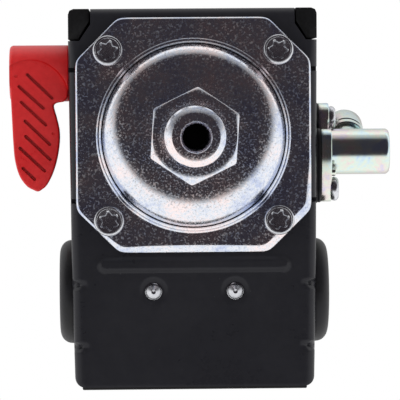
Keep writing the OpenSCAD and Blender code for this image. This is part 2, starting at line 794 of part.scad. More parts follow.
module valve_body() {
    color([0.82, 0.8, 0.7]) difference() {
        union() {
            translate([valve_x, 0, 0]) side_profile() linear_extrude(valve_flange_t) valve_outline();
            rod_x(barrel_x - 0.5, barrel_end - 0.8, barrel_r, valve_y, shaft_z);
            translate([barrel_end - 0.8, valve_y, shaft_z]) rotate([0, 90, 0])
                cylinder(r1 = barrel_r, r2 = barrel_r - 0.8, h = 0.8);
            rod_x(barrel_x - 0.5, barrel_x + 0.9, 0.9, 8.6, shaft_z - 6.2);
            at_branch() rod_z(0, branch_end, branch_r);
        }
        for (p = valve_screw_at) rod_x(valve_x - 1, barrel_x + 1, valve_screw_r + 0.15, p.x, p.y);
        rod_x(valve_x - 1, chamber_x + 0.5, pin_r + 0.2, valve_y, shaft_z);
        rod_x(chamber_x, barrel_end + 1, chamber_r, valve_y, shaft_z);
        at_branch() rod_z(0, branch_end + 1, 2.1);
    }
}

module valve_screws() {
    grip = valve_flange_t + gasket_t + sheet_t;
    color("silver") for (p = valve_screw_at) translate([barrel_x, p.x, p.y]) rotate([0, -90, 0])
        difference() {
            union() {
                pan_head(2.7, 1.6);
                rod_z(0, grip + 0.8, valve_screw_r);
            }
            for (a = [45, 135]) rotate([0, 0, a]) block([-1.6, -0.35, -2], [1.6, 0.35, -0.7]);
        }
}

module valve_pin() {
    color("goldenrod") {
        translate([pin_nose, valve_y, shaft_z]) sphere(r = pin_r);
        rod_x(pin_nose, barrel_end - 4.6, pin_r, valve_y, shaft_z);
        rod_x(chamber_x + 0.1, chamber_x + 1.7, 2, valve_y, shaft_z);
    }
}

module valve_spring() {
    color("silver") translate([0, valve_y, shaft_z]) rotate([0, 90, 0])
        coil(1.6, 0.5, chamber_x + 1.7, barrel_end - 2.2, 5, 10, 8);
}

module valve_plug() {
    color("silver") rod_x(barrel_end - 2.2, barrel_end - 0.3, chamber_r - 0.02, valve_y, shaft_z);
}

module tube_nut() {
    ferrule_z = branch_end + 0.1;
    color([0.82, 0.8, 0.7]) at_branch() difference() {
        union() {
            rod_z(nut_from, nut_to, nut_r);
            translate([0, 0, nut_to]) cylinder(r1 = nut_r, r2 = nut_r - 0.7, h = 0.8);
        }
        rod_z(nut_from - 1, ferrule_z + ferrule_t, branch_r + 0.02);
        rod_z(nut_from, nut_to + 2, tube_r);
    }
}

module tube_ferrule() {
    color("goldenrod") at_branch() translate([0, 0, branch_end + 0.1]) difference() {
        cylinder(r = branch_r - slip, h = ferrule_t);
        rod_z(-1, ferrule_t + 1, tube_r);
    }
}

module ground_screw() {
    color("green") translate([-inner_w, ground_at.x, ground_at.y]) rotate([0, -90, 0]) difference() {
        union() {
            pan_head(3.6, 2.2);
            rod_z(0, sheet_t - 0.05, ground_r);
        }
        block([-2.6, -0.45, -3], [2.6, 0.45, -1.2]);
    }
}

pressure_port();
diaphragm_flange();
flange_screws();
diaphragm();
pressure_plate();
chassis();
cover();
cover_screw();
grommet_left();
grommet_right();
mechanism_frame();
main_lever();
main_lever_pin();
range_stud();
range_spring();
spring_cap();
range_nut();
insulating_sheet();
contact_block();
block_screws();
fixed_contacts();
terminal_screws();
contact_rocker();
rocker_pin();
moving_contacts();
contact_springs();
toggle_spring();
shutoff_lever();
lever_shaft();
shaft_bushing();
shutoff_cam();
shaft_clip();
trip_slide();
slide_guides();
valve_gasket();
valve_body();
valve_screws();
valve_pin();
valve_spring();
valve_plug();
tube_nut();
tube_ferrule();
ground_screw();
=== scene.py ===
"""The looks of an air compressor's pressure switch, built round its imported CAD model.

Shapes are worked out in millimetres and become metres when a piece is made.
"""
import json
import math

import bmesh
import bpy
import numpy as np
from mathutils import Matrix, Vector


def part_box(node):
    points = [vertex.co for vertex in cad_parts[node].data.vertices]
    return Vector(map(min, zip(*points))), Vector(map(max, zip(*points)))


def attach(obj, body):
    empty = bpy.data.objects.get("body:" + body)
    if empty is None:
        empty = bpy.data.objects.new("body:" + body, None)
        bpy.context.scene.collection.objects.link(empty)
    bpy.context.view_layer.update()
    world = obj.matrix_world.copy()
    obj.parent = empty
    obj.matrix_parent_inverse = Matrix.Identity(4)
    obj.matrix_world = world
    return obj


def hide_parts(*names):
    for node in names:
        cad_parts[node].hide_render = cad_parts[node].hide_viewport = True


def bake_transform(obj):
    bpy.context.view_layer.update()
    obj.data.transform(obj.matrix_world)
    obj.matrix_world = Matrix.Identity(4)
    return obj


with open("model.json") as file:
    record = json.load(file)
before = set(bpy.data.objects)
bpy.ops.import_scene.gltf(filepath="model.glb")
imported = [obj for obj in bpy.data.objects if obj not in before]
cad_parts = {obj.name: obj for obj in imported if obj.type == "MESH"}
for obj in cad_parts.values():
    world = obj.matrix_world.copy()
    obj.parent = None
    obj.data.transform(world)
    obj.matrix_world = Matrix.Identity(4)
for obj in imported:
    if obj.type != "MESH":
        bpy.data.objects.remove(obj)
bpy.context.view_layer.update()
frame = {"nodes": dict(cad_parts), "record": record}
MM = 0.001
SCENE = bpy.context.scene


def mm_box(node):
    """Lowest and highest corner of a CAD node, in millimetres."""
    low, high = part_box(node)
    return np.array(low) / MM, np.array(high) / MM


# ---- Node materials ----


def link(tree, a, b):
    tree.links.new(a, b)


def noise(tree, vector, scale, detail, rough, distortion=0.0):
    n = tree.nodes.new("ShaderNodeTexNoise")
    n.inputs["Scale"].default_value = scale
    n.inputs["Detail"].default_value = detail
    n.inputs["Roughness"].default_value = rough
    n.inputs["Distortion"].default_value = distortion
    link(tree, vector, n.inputs["Vector"])
    return n.outputs["Fac"]


def ramp(tree, value, stops):
    r = tree.nodes.new("ShaderNodeValToRGB")
    while len(r.color_ramp.elements) < len(stops):
        r.color_ramp.elements.new(0.5)
    for e, (pos, colour) in zip(r.color_ramp.elements, stops):
        e.position = pos
        e.color = (*colour, 1)
    link(tree, value, r.inputs["Fac"])
    return r.outputs["Color"]


def remap(tree, value, from_low, from_high, to_low, to_high):
    """The value, taken in a straight line from one range to the other and held at its ends."""
    m = tree.nodes.new("ShaderNodeMapRange")
    limits = {"From Min": from_low, "From Max": from_high, "To Min": to_low, "To Max": to_high}
    for name, v in limits.items():
        m.inputs[name].default_value = v
    link(tree, value, m.inputs["Value"])
    return m.outputs["Result"]


def math_node(tree, operation, a, b=None):
    """A Math node of one or two inputs, the second a number or another node's output."""
    m = tree.nodes.new("ShaderNodeMath")
    m.operation = operation
    link(tree, a, m.inputs[0])
    if isinstance(b, float):
        m.inputs[1].default_value = b
    elif b is not None:
        link(tree, b, m.inputs[1])
    return m.outputs[0]


def tinted(tree, colour, tint, factor):
    """The colour where the factor is 0 and the tint where it is 1."""
    m = tree.nodes.new("ShaderNodeMix")
    m.data_type = "RGBA"
    m.blend_type = "MIX"
    link(tree, factor, m.inputs["Factor"])
    sockets = [s for s in m.inputs if s.type == "RGBA"]
    link(tree, colour, sockets[0])
    sockets[1].default_value = (*tint, 1)
    return [s for s in m.outputs if s.type == "RGBA"][0]


def material(name, stops, rough, metallic=0.0, grain=1400, patch=90, bump=0.1, distance=0.02,
             speck=None, scratch=0.0, specular=0.5, rough_spread=0.25, stretch=None, mottle=0.5,
             dull_spots=None):
    """A procedural finish: patches and fine grain set its colour, grain and scratches its gloss and relief.

    grain and patch are noise scales and mottle the grain's share in the colour. speck is (scale, from, to, colour)
    and dull_spots (scale, from, to, roughness). distance is the relief's height in millimetres.
    """
    m = bpy.data.materials.new(name)
    m.use_nodes = True
    t = m.node_tree
    t.nodes.clear()
    out = t.nodes.new("ShaderNodeOutputMaterial")
    bsdf = t.nodes.new("ShaderNodeBsdfPrincipled")
    link(t, bsdf.outputs["BSDF"], out.inputs["Surface"])
    where = t.nodes.new("ShaderNodeTexCoord").outputs["Object"]
    if stretch:
        mp = t.nodes.new("ShaderNodeMapping")
        mp.inputs["Scale"].default_value = stretch
        link(t, where, mp.inputs["Vector"])
        long_way = mp.outputs["Vector"]
    else:
        long_way = where
    patches = noise(t, where, patch, 3.0, 0.55, 0.4)
    grains = noise(t, long_way, grain, 3.0, 0.6)
    both = t.nodes.new("ShaderNodeMix")
    both.inputs["Factor"].default_value = mottle
    link(t, patches, both.inputs["A"])
    link(t, grains, both.inputs["B"])
    blend = both.outputs["Result"]
    colour = ramp(t, blend, stops)
    if speck:
        size, low, high, tint = speck
        spots = noise(t, where, size, 1.0, 0.4)
        mask = ramp(t, spots, [(low, (0, 0, 0)), (high, (1, 1, 1))])
        colour = tinted(t, colour, tint, mask)
    link(t, colour, bsdf.inputs["Base Color"])
    gloss = remap(t, blend, 0.3, 0.7, rough * (1 - rough_spread), rough * (1 + rough_spread))
    if dull_spots:
        size, low, high, dull = dull_spots
        dots = remap(t, noise(t, where, size, 1.0, 0.5), low, high, 0.0, dull)
        gloss = math_node(t, "MAXIMUM", gloss, dots)
    link(t, gloss, bsdf.inputs["Roughness"])
    bsdf.inputs["Metallic"].default_value = metallic
    bsdf.inputs["Specular IOR Level"].default_value = specular
    height = grains
    if scratch:
        mp = t.nodes.new("ShaderNodeMapping")
        mp.inputs["Rotation"].default_value = (0.3, 0.2, 0.6)
        mp.inputs["Scale"].default_value = (1, 14, 14)
        link(t, where, mp.inputs["Vector"])
        lines = noise(t, mp.outputs["Vector"], 110, 2.0, 0.5, 0.6)
        height = math_node(t, "SUBTRACT", grains, remap(t, lines, 0.62, 0.72, 0.0, scratch))
    b = t.nodes.new("ShaderNodeBump")
    b.inputs["Strength"].default_value = bump
    b.inputs["Distance"].default_value = distance * MM
    link(t, height, b.inputs["Height"])
    link(t, b.outputs["Normal"], bsdf.inputs["Normal"])
    return m


def grey(v):
    return (v, v, v)


ZINC = material("bright_zinc",
                [(0.37, (0.5, 0.56, 0.74)), (0.5, (0.73, 0.76, 0.82)), (0.63, (0.92, 0.79, 0.78))],
                0.15, 1.0, grain=1500, patch=110, bump=0.3, distance=0.02, scratch=0.4, rough_spread=0.35,
                mottle=0.36, dull_spots=(2400, 0.43, 0.7, 0.5))
STEEL = material("plated_steel",
                 [(0.3, (0.42, 0.43, 0.47)), (0.6, (0.7, 0.71, 0.74)), (0.75, (0.82, 0.83, 0.85))],
                 0.24, 1.0, grain=1800, patch=300, bump=0.2, distance=0.01)
TURNED = material("turned_aluminium", [(0.3, grey(0.6)), (0.7, grey(0.82))], 0.3, 1.0, grain=900,
                  patch=200, bump=0.15, distance=0.01, stretch=(1, 1, 6))
SPRING = material("spring_steel", [(0.3, (0.1, 0.1, 0.11)), (0.7, (0.28, 0.27, 0.26))], 0.34, 1.0,
                  grain=1500, patch=200)
BRASS = material("brass", [(0.3, (0.62, 0.42, 0.16)), (0.7, (0.83, 0.64, 0.3))], 0.26, 1.0, grain=1300,
                 patch=220, bump=0.15, distance=0.01)
YELLOW_ZINC = material("iridescent_zinc",
                       [(0.34, (0.5, 0.64, 0.82)), (0.43, (0.64, 0.78, 0.8)), (0.5, (0.72, 0.8, 0.7)),
                        (0.57, (0.8, 0.72, 0.68)), (0.66, (0.68, 0.64, 0.8))],
                       0.2, 1.0, grain=1100, patch=170, bump=0.2, distance=0.012, mottle=0.25)
BLACK_PAINT = material("black_paint", [(0.3, (0.018, 0.018, 0.0225)), (0.7, (0.0255, 0.0255, 0.031))],
                       0.3, 0.0, grain=700, patch=45, bump=0.08, distance=0.02, specular=0.18,
                       mottle=0.35, speck=(1500, 0.79, 0.83, (0.06, 0.06, 0.065)))
BLACK_PLASTIC = material("black_plastic", [(0.35, grey(0.008)), (0.65, (0.014, 0.014, 0.016))], 0.4, 0.0,
                         grain=1600, patch=90, bump=0.25, distance=0.03, specular=0.22)
RUBBER = material("black_rubber", [(0.35, grey(0.011)), (0.65, (0.018, 0.018, 0.023))], 0.42, 0.0,
                  grain=1200, patch=80, bump=0.12, distance=0.02, specular=0.25)
RED_PLASTIC = material("red_plastic", [(0.35, (0.74, 0.01, 0.013)), (0.65, (0.86, 0.018, 0.02))], 0.34, 0.0,
                       grain=900, patch=70, bump=0.1, distance=0.02)
PHENOLIC = material("phenolic", [(0.35, (0.06, 0.03, 0.018)), (0.65, (0.12, 0.06, 0.032))], 0.4, 0.0, grain=1200,
                    patch=140, bump=0.15, distance=0.02)
CARD = material("insulating_card", [(0.35, (0.07, 0.08, 0.075)), (0.65, (0.13, 0.14, 0.13))], 0.7, 0.0, grain=1500,
                patch=120, bump=0.3, distance=0.02)
NYLON = material("white_nylon", [(0.35, (0.62, 0.61, 0.57)), (0.65, (0.74, 0.73, 0.69))], 0.45, 0.0,
                 grain=1000, patch=90)
GREEN = material("green_screw", [(0.35, (0.02, 0.16, 0.05)), (0.65, (0.04, 0.26, 0.09))], 0.3, 0.6,
                 grain=1000, patch=120)

FINISH = {"zinc": ZINC, "steel": STEEL, "alu": TURNED, "spring_steel": SPRING, "rubber": RUBBER,
          "black_paint": BLACK_PAINT, "black_plastic": BLACK_PLASTIC, "paper": CARD, "phenolic": PHENOLIC,
          "brass": BRASS, "red_plastic": RED_PLASTIC, "white_plastic": NYLON, "yellow_zinc": YELLOW_ZINC,
          "green_paint": GREEN}

# ---- Mesh building ----


def angles(n):
    return [2 * math.pi * k / n for k in range(n)]


def arc(start, end, n):
    """n angles from start to end, given in degrees, in radians."""
    return np.radians(np.linspace(start, end, n))


def disc(r, z, ring):
    """One ring of points of this radius and height, at the ring's angles."""
    return [(r * math.cos(a), r * math.sin(a), z) for a in ring]


def round_rect(x0, x1, y0, y1, r, n=6):
    """A rectangle's outline with rounded corners, n steps to each."""
    pts = []
    for cx, cy, a0 in ((x1 - r, y1 - r, 0), (x0 + r, y1 - r, 90), (x0 + r, y0 + r, 180), (x1 - r, y0 + r, 270)):
        turn = [math.radians(a0 + 90 * k / n) for k in range(n + 1)]
        pts += [(cx + r * math.cos(a), cy + r * math.sin(a)) for a in turn]
    return pts


def mark_smooth(mesh, sharp):
    """Smooth faces, with the edges sharper than this many degrees kept crisp."""
    bm = bmesh.new()
    bm.from_mesh(mesh)
    for f in bm.faces:
        f.smooth = True
    for e in bm.edges:
        e.smooth = len(e.link_faces) != 2 or e.calc_face_angle(0.0) < math.radians(sharp)
    bm.to_mesh(mesh)
    bm.free()


class Build:
    """Closed shells gathered into one mesh."""

    def __init__(self):
        self.bm = bmesh.new()

    def shell(self, verts, faces, bevel=0.0, segments=2, move=None):
        """One closed shell, with a bevel on its edges sharper than 30 degrees."""
        bm = bmesh.new()
        vs = [bm.verts.new(Vector(v)) for v in verts]
        for f in faces:
            bm.faces.new([vs[i] for i in f])
        bmesh.ops.recalc_face_normals(bm, faces=bm.faces)
        if bevel:
            edges = [e for e in bm.edges if len(e.link_faces) == 2 and e.calc_face_angle(0) > math.radians(30)]
            bmesh.ops.bevel(bm, geom=edges, offset=bevel, segments=segments, profile=0.5, affect="EDGES",
                            clamp_overlap=True)
        if move is not None:
            bm.transform(move)
        me = bpy.data.meshes.new("shell")
        bm.to_mesh(me)
        self.bm.from_mesh(me)
        bpy.data.meshes.remove(me)
        bm.free()
        return self

    def box(self, low, high, bevel=0.15, **kw):
        (x0, y0, z0), (x1, y1, z1) = low, high
        verts = [(x, y, z) for z in (z0, z1) for y in (y0, y1) for x in (x0, x1)]
        return self.shell(verts, [(0, 2, 3, 1), (4, 5, 7, 6), (0, 1, 5, 4), (2, 6, 7, 3), (0, 4, 6, 2), (1, 3, 7, 5)],
                          bevel, **kw)

    def prism(self, outline, z0, z1, bevel=0.15, **kw):
        n = len(outline)
        verts = [(x, y, z0) for x, y in outline] + [(x, y, z1) for x, y in outline]
        sides = [(i, (i + 1) % n, n + (i + 1) % n, n + i) for i in range(n)]
        return self.shell(verts, [tuple(range(n)), tuple(range(n, 2 * n))] + sides, bevel, **kw)

    def loft(self, rings, close=False, move=None):
        """Rings of equally many points, joined in order, with flat ends unless the last joins the first."""
        n = len(rings[0])
        verts = [tuple(p) for ring in rings for p in ring]
        faces = []
        count = len(rings)
        for i in range(count if close else count - 1):
            j = (i + 1) % count
            faces += [(i * n + k, i * n + (k + 1) % n, j * n + (k + 1) % n, j * n + k) for k in range(n)]
        if not close:
            faces += [tuple(range(n)), tuple((count - 1) * n + k for k in range(n))]
        return self.shell(verts, faces, move=move)

    def lathe(self, profile, sides=96, move=None):
        """A closed profile of (radius, height) points turned about Z."""
        rings = [disc(r, z, angles(sides)) for r, z in profile]
        return self.loft(rings, close=True, move=move)

    def rod(self, r, z0, z1, edge=0.15, sides=48, move=None):
        """A round bar along Z with rounded ends."""
        e = min(edge, r * 0.5, (z1 - z0) / 2.2)
        rings = []
        for k in range(4):
            a = math.radians(90 * k / 3)
            rings.append((r - e + e * math.sin(a), z0 + e - e * math.cos(a)))
        rings += [(rr, z0 + z1 - zz) for rr, zz in reversed(rings)]
        return self.loft([disc(rr, zz, angles(sides)) for rr, zz in rings], move=move)


def along_x(x=0, y=0, z=0):
    """Turns a shape's +Z to +X and moves it."""
    return Matrix.Translation((x, y, z)) @ Matrix.Rotation(math.radians(90), 4, "Y")


def along_y(x=0, y=0, z=0):
    """Turns a shape's +Z to +Y and moves it."""
    return Matrix.Translation((x, y, z)) @ Matrix.Rotation(math.radians(-90), 4, "X")


def at(x=0, y=0, z=0):
    return Matrix.Translation((x, y, z))


def to_object(build, name, finish=None):
    """The shells as an object in metres. The build can't be used again."""
    mesh = bpy.data.meshes.new(name)
    build.bm.transform(Matrix.Scale(MM, 4))
    build.bm.to_mesh(mesh)
    build.bm.free()
    ob = bpy.data.objects.new(name, mesh)
    SCENE.collection.objects.link(ob)
    if finish:
        mesh.materials.append(finish)
    return ob


def apply_all(ob):
    """Replaces the object's mesh with what its modifiers make of it."""
    graph = bpy.context.evaluated_depsgraph_get()
    mesh = bpy.data.meshes.new_from_object(ob.evaluated_get(graph))
    ob.modifiers.clear()
    ob.data = mesh


def cut(ob, cutters):
    """Takes the cutter shapes out of the object."""
    tool = to_object(cutters, ob.name + "_cutter")
    mod = ob.modifiers.new("cut", "BOOLEAN")
    mod.operation = "DIFFERENCE"
    mod.solver = "EXACT"
    mod.use_self = True
    mod.object = tool
    apply_all(ob)
    bpy.data.objects.remove(tool)


def finish_piece(ob, body, nodes, sharp=32):
    """Rides the piece on its body, or, when given (body at one end, body at the other, end, end), leaves it fixed
    where it was built.
    """
    mark_smooth(ob.data, sharp)
    if isinstance(body, str):
        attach(ob, body)
    else:
        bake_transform(ob)
    if nodes:
        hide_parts(*nodes)


def piece(build, name, body, slot, nodes=(), cutters=None, sharp=32):
    """Turns the shells into one finished piece, which stands for these CAD nodes."""
    ob = to_object(build, name, FINISH[slot])
    if cutters:
        cut(ob, cutters)
    finish_piece(ob, body, nodes, sharp)


def smooth_step(v):
    v = np.clip(v, 0.0, 1.0)
    return v * v * (3 - 2 * v)


def curve_points(points, n):
    """A smooth closed curve through the given points, as n points."""
    p = np.array(points, dtype=float)
    m = len(p)
    out = []
    for t in np.linspace(0, m, n, endpoint=False):
        i = int(t)
        f = t - i
        a, b, c, d = (p[(i + k) % m] for k in (-1, 0, 1, 2))
        bend, twist = 2 * a - 5 * b + 4 * c - d, 3 * b - a - 3 * c + d
        out.append(0.5 * (2 * b + (c - a) * f + bend * f * f + twist * f ** 3))
    return [tuple(v) for v in out]


# ---- Diaphragm housing and port ----

FLANGE_LOW, FLANGE_HIGH = mm_box("diaphragm_flange")
PORT_LOW, PORT_HIGH = mm_box("pressure_port")
BASE_Z = FLANGE_HIGH[2]
FLANGE_T = 2.0
FACE_Z = BASE_Z - FLANGE_T
CUP_Z = FLANGE_LOW[2]
FLANGE_W = FLANGE_HIGH[0] - FLANGE_LOW[0]
CUP_CURVE = 3.5  # power of the cup's rounding: flat in the middle, tight at the shoulder
CUP_R = 20.2
CROWN_R = 8.0  # the cup's flat middle
BORE_R = 6.9  # the port's seat in the cup
RECESS_R = 22.5  # the diaphragm's recess in the plate


def octagon_radius(a, half, corner):
    """Distance from the centre to an octagon's edge, with its corners slightly rounded."""
    total = 0.0
    for k in range(8):
        c = math.cos(a - k * math.pi / 4)
        if c > 0.2:
            total += math.exp(-2.2 * (half if k % 2 == 0 else corner) / c)
    return -math.log(total) / 2.2


def flange():
    """The octagonal plate and its pressed cup, in rings from the cup's hole outwards and back on the inside."""
    corner = (FLANGE_W - 9.4) / math.sqrt(2)
    ring = angles(360)

    def circle(r, z):
        return disc(r, z, ring)

    def outline(inset, z):
        out = []
        for a in ring:
            r = octagon_radius(a, FLANGE_W / 2, corner) - inset
            out.append((r * math.cos(a), r * math.sin(a), z))
        return out

    def rolled(thin, drop, wide, wide_drop):
        """The outline this far in and up, by the first pair of figures or, on the lower side, the second."""
        out = []
        for a in ring:
            share = float(smooth_step((math.cos(a - math.radians(75)) - 0.45) / 0.35))
            r = octagon_radius(a, FLANGE_W / 2, corner) - thin - (wide - thin) * share
            out.append((r * math.cos(a), r * math.sin(a), FACE_Z + drop + (wide_drop - drop) * share))
        return out

    def skin(r, z0, depth, end):
        """Height of the cup's wall at a radius: depth below z0 in the middle, and z0 at the end radius."""
        return z0 - depth * math.sqrt(max(0.0, 1 - (max(0.0, r - CROWN_R) / (end - CROWN_R)) ** CUP_CURVE))

    deep = FACE_Z - CUP_Z
    rings = [circle(BORE_R, CUP_Z), circle(CROWN_R, CUP_Z)]
    for a in arc(3, 88.5, 44):
        r = CROWN_R + (CUP_R - CROWN_R) * math.sin(a)
        rings.append(circle(r, skin(r, FACE_Z, deep, CUP_R)))
    for r, z in ((20.24, FACE_Z - 1.3), (20.34, FACE_Z - 0.9), (20.55, FACE_Z - 0.62), (20.8, FACE_Z - 0.52),
                 (20.95, FACE_Z - 0.5), (21.05, FACE_Z - 0.3), (21.2, FACE_Z - 0.1), (21.4, FACE_Z), (21.6, FACE_Z),
                 (22.4, FACE_Z)):
        rings.append(circle(r, z))
    # the sheared edge rolls off little along most of the plate, and much more along its lower side
    for row in ((1.7, 0, 2.0, 0), (0.6, 0, 1.72, 0), (0.48, 0.03, 1.5, 0.07), (0.36, 0.1, 1.0, 0.3),
                (0.22, 0.2, 0.5, 0.56), (0.1, 0.35, 0.18, 0.75), (0.03, 0.55, 0.04, 0.95)):
        rings.append(rolled(*row))
    rings += [outline(0, BASE_Z - 0.6), outline(0, BASE_Z - 0.2), outline(0.2, BASE_Z), outline(1.0, BASE_Z)]
    # the diaphragm's recess, then the cup's inner wall
    rings += [circle(RECESS_R + 0.2, BASE_Z), circle(RECESS_R, BASE_Z - 0.2), circle(RECESS_R, BASE_Z - 1)]
    rings.append(circle(19, BASE_Z - 1))
    inner_r = CUP_R - FLANGE_T
    for a in arc(88, 3, 20):
        r = CROWN_R + (inner_r - CROWN_R) * math.sin(a)
        rings.append(circle(r, skin(r, BASE_Z - 1, deep + 1 - FLANGE_T, inner_r)))
    rings += [circle(CROWN_R, CUP_Z + FLANGE_T), circle(BORE_R, CUP_Z + FLANGE_T)]
    piece(Build().loft(rings, close=True), "diaphragm_housing", "housing", "zinc", ["diaphragm_flange"], sharp=40)


def port():
    """The fitting, in rings down its air passage, up the stub's thread, and up the hex to its collar."""
    ring = angles(192)
    passage, across_flats, shoulder = 2.8, 18.4, 8.95
    top, end = PORT_HIGH[2], PORT_LOW[2]
    rings = []

    def circle(r, z):
        rings.append(disc(r, z, ring))

    def hexagon(inset, z, chamfer=False):
        out = []
        for a in ring:
            d = [across_flats / 2 / max(0.2, math.cos(a - math.radians(4 + 60 * k))) for k in range(6)]
            total = sum(math.exp(-7 * v) for v in d)
            r = -math.log(total) / 7 - inset
            zz = z + max(0.0, r - shoulder) * 0.5 if chamfer else z
            out.append((r * math.cos(a), r * math.sin(a), zz))
        rings.append(out)

    circle(passage, top)
    circle(passage, end + 0.9)
    circle(3.3, end + 0.12)
    circle(3.42, end)
    circle(5.0, end)
    circle(5.14, end + 0.06)
    circle(6.28, end + 1.15)
    # the thread, which fades out under the hex and tapers towards its end
    pitch, depth, per_turn, run_out = 1.41, 0.72, 12, -1.3
    z = end + 1.3
    while z < run_out:
        row = []
        for a in ring:
            phase = ((z / pitch) - a / (2 * math.pi)) % 1.0
            tooth = abs(2 * phase - 1)
            tooth = min(1.0, max(0.0, (tooth - 0.08) / 0.84))
            fade = min(1.0, max(0.0, (run_out - z) / 1.2))
            crest = 6.58 - (run_out - z) / 32
            r = crest - depth * fade * (1 - tooth)
            row.append((r * math.cos(a), r * math.sin(a), z))
        rings.append(row)
        z += pitch / per_turn
    circle(6.3, -1.2)
    circle(6.1, -0.9)
    circle(6.1, -0.3)
    circle(6.4, 0)
    circle(7.6, 0)
    circle(shoulder, 0)
    hexagon(0.06, 0.0, True)
    hexagon(0.0, 0.07, True)
    hexagon(0.0, CUP_Z - 0.4)
    hexagon(0.25, CUP_Z)
    circle(7.0, CUP_Z)
    circle(BORE_R, CUP_Z + FLANGE_T)
    circle(7.8, CUP_Z + FLANGE_T)
    circle(7.9, CUP_Z + FLANGE_T + 0.2)
    circle(7.7, top - 0.2)
    circle(7.2, top)
    piece(Build().loft(rings, close=True), "port_fitting", "housing", "zinc", ["pressure_port"], sharp=38)


def six_lobe_screws():
    """The four flange screws, with low round heads and six-lobe recesses."""
    low, high = mm_box("flange_screws")
    head_r = 3.3
    reach = high[0] - head_r
    head = FACE_Z - low[2]
    ring = angles(96)
    build = Build()

    def lobe(a, r):
        return r * (0.86 + 0.14 * math.cos(6 * a))

    for k, (sx, sy) in enumerate(((-1, -1), (1, -1), (-1, 1), (1, 1))):
        turn = 0.25 + 0.7 * k
        rings = []
        for r, z in ((1.9, high[2] - 0.6 - FACE_Z), (1.9, 0.02), (3.15, 0.0), (3.28, -0.15), (head_r, -0.6),
                     (head_r, -1.6), (3.24, -1.86), (3.1, -2.06), (2.9, -2.16), (2.74, -2.18), (2.66, -2.1),
                     (2.3, -2.08)):
            rings.append(disc(r, z * head / 2.2, ring))
        for r, z in ((2.24, -2.06), (2.04, -1.86), (1.98, -0.95), (1.86, -0.82), (1.0, -0.8), (0.05, -0.8)):
            rings.append([(lobe(a + turn, r) * math.cos(a), lobe(a + turn, r) * math.sin(a), z) for a in ring])
        rings.insert(0, disc(1.4, high[2] - FACE_Z, ring))
        build.loft(rings, move=at(sx * reach, sy * reach, FACE_Z))
    piece(build, "housing_screws", "housing", "steel", ["flange_screws"], sharp=40)


# ---- Chassis ----

SHEET = 1.5
BEND_R = 2.5
SHAFT = (-13.8, 33.0)  # y and z of the lever's shaft
GROMMET = (35.2, 33.0)  # y and z of the cable entries
BLOCK_SCREW_X, BLOCK_SCREW_Y = 9, 34.4
NOTCH_X, NOTCH_Y = 22.4, -24.4  # the front corner notches begin here
RELIEF_Y = 14.4  # the slots in the side bends


